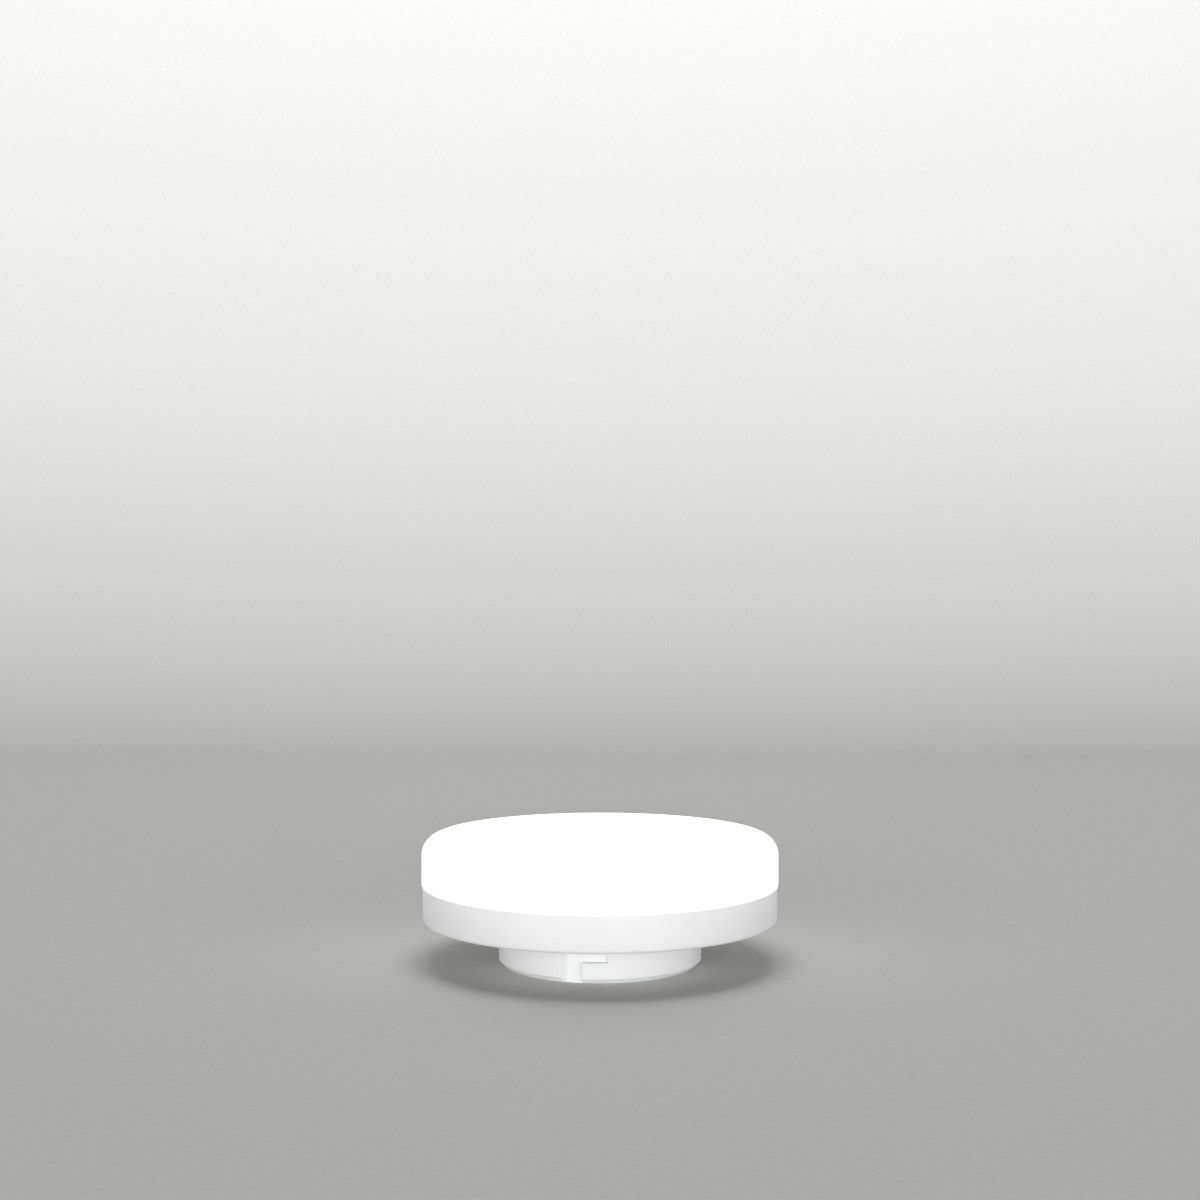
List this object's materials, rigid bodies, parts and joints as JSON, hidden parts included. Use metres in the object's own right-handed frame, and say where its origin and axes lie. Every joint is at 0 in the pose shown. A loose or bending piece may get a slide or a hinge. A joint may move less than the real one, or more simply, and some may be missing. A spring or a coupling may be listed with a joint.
{
  "type": "led disc lamp",
  "caption": "Flat round LED lamp: opal diffuser on a white moulded housing, whose narrower cap boss has L-shaped twist-lock keyways, with mushroom contact pins on its back face.",
  "frame": {"origin": "centre of the cap boss's flat end, on the lamp's axis, which is the bottom centre of the lamp's box", "axes": "+Z along the lamp's axis towards the diffuser; X through both contact pins; the picture looks along +Y"},
  "size_m": [0.075, 0.075, 0.027],
  "materials": {
    "opal_polycarbonate": "satin opal, lit from inside",
    "white_moulded_plastic": "satin moulded white",
    "plated_pin": "turned brass, nickel plated",
    "drawn_aluminium": "drawn sheet, mill finish",
    "white_board": "white solder mask on an aluminium core",
    "led_package": "white frame with a yellow phosphor window",
    "zinc_steel": "zinc plated",
    "green_board": "green solder mask",
    "capacitor_sleeve": "shrunk sleeve on an aluminium can",
    "ferrite": "ground ferrite",
    "copper_winding": "enamelled copper wire",
    "black_package": "moulded epoxy",
    "resistor_coat": "fireproof coating",
    "white_wire": "silicone insulation",
    "red_wire": "plastic insulation",
    "black_wire": "plastic insulation"
  },
  "bodies": {
    "root": {"diffuser": "opal_polycarbonate", "housing": "white_moulded_plastic", "contact_pin_left": "plated_pin", "contact_pin_right": "plated_pin", "heat_spreader": "drawn_aluminium", "led_board": "white_board", "led_packages": "led_package", "board_screws": "zinc_steel", "driver_board": "green_board", "input_capacitor": "capacitor_sleeve", "output_capacitor": "capacitor_sleeve", "choke_core": "ferrite", "choke_winding": "copper_winding", "bridge_rectifier": "black_package", "driver_chip": "black_package", "chip_resistors": "black_package", "fuse_resistor": "resistor_coat", "mains_wire_left": "white_wire", "mains_wire_right": "white_wire", "led_wire_positive": "red_wire", "led_wire_negative": "black_wire"}
  },
  "joints": []
}
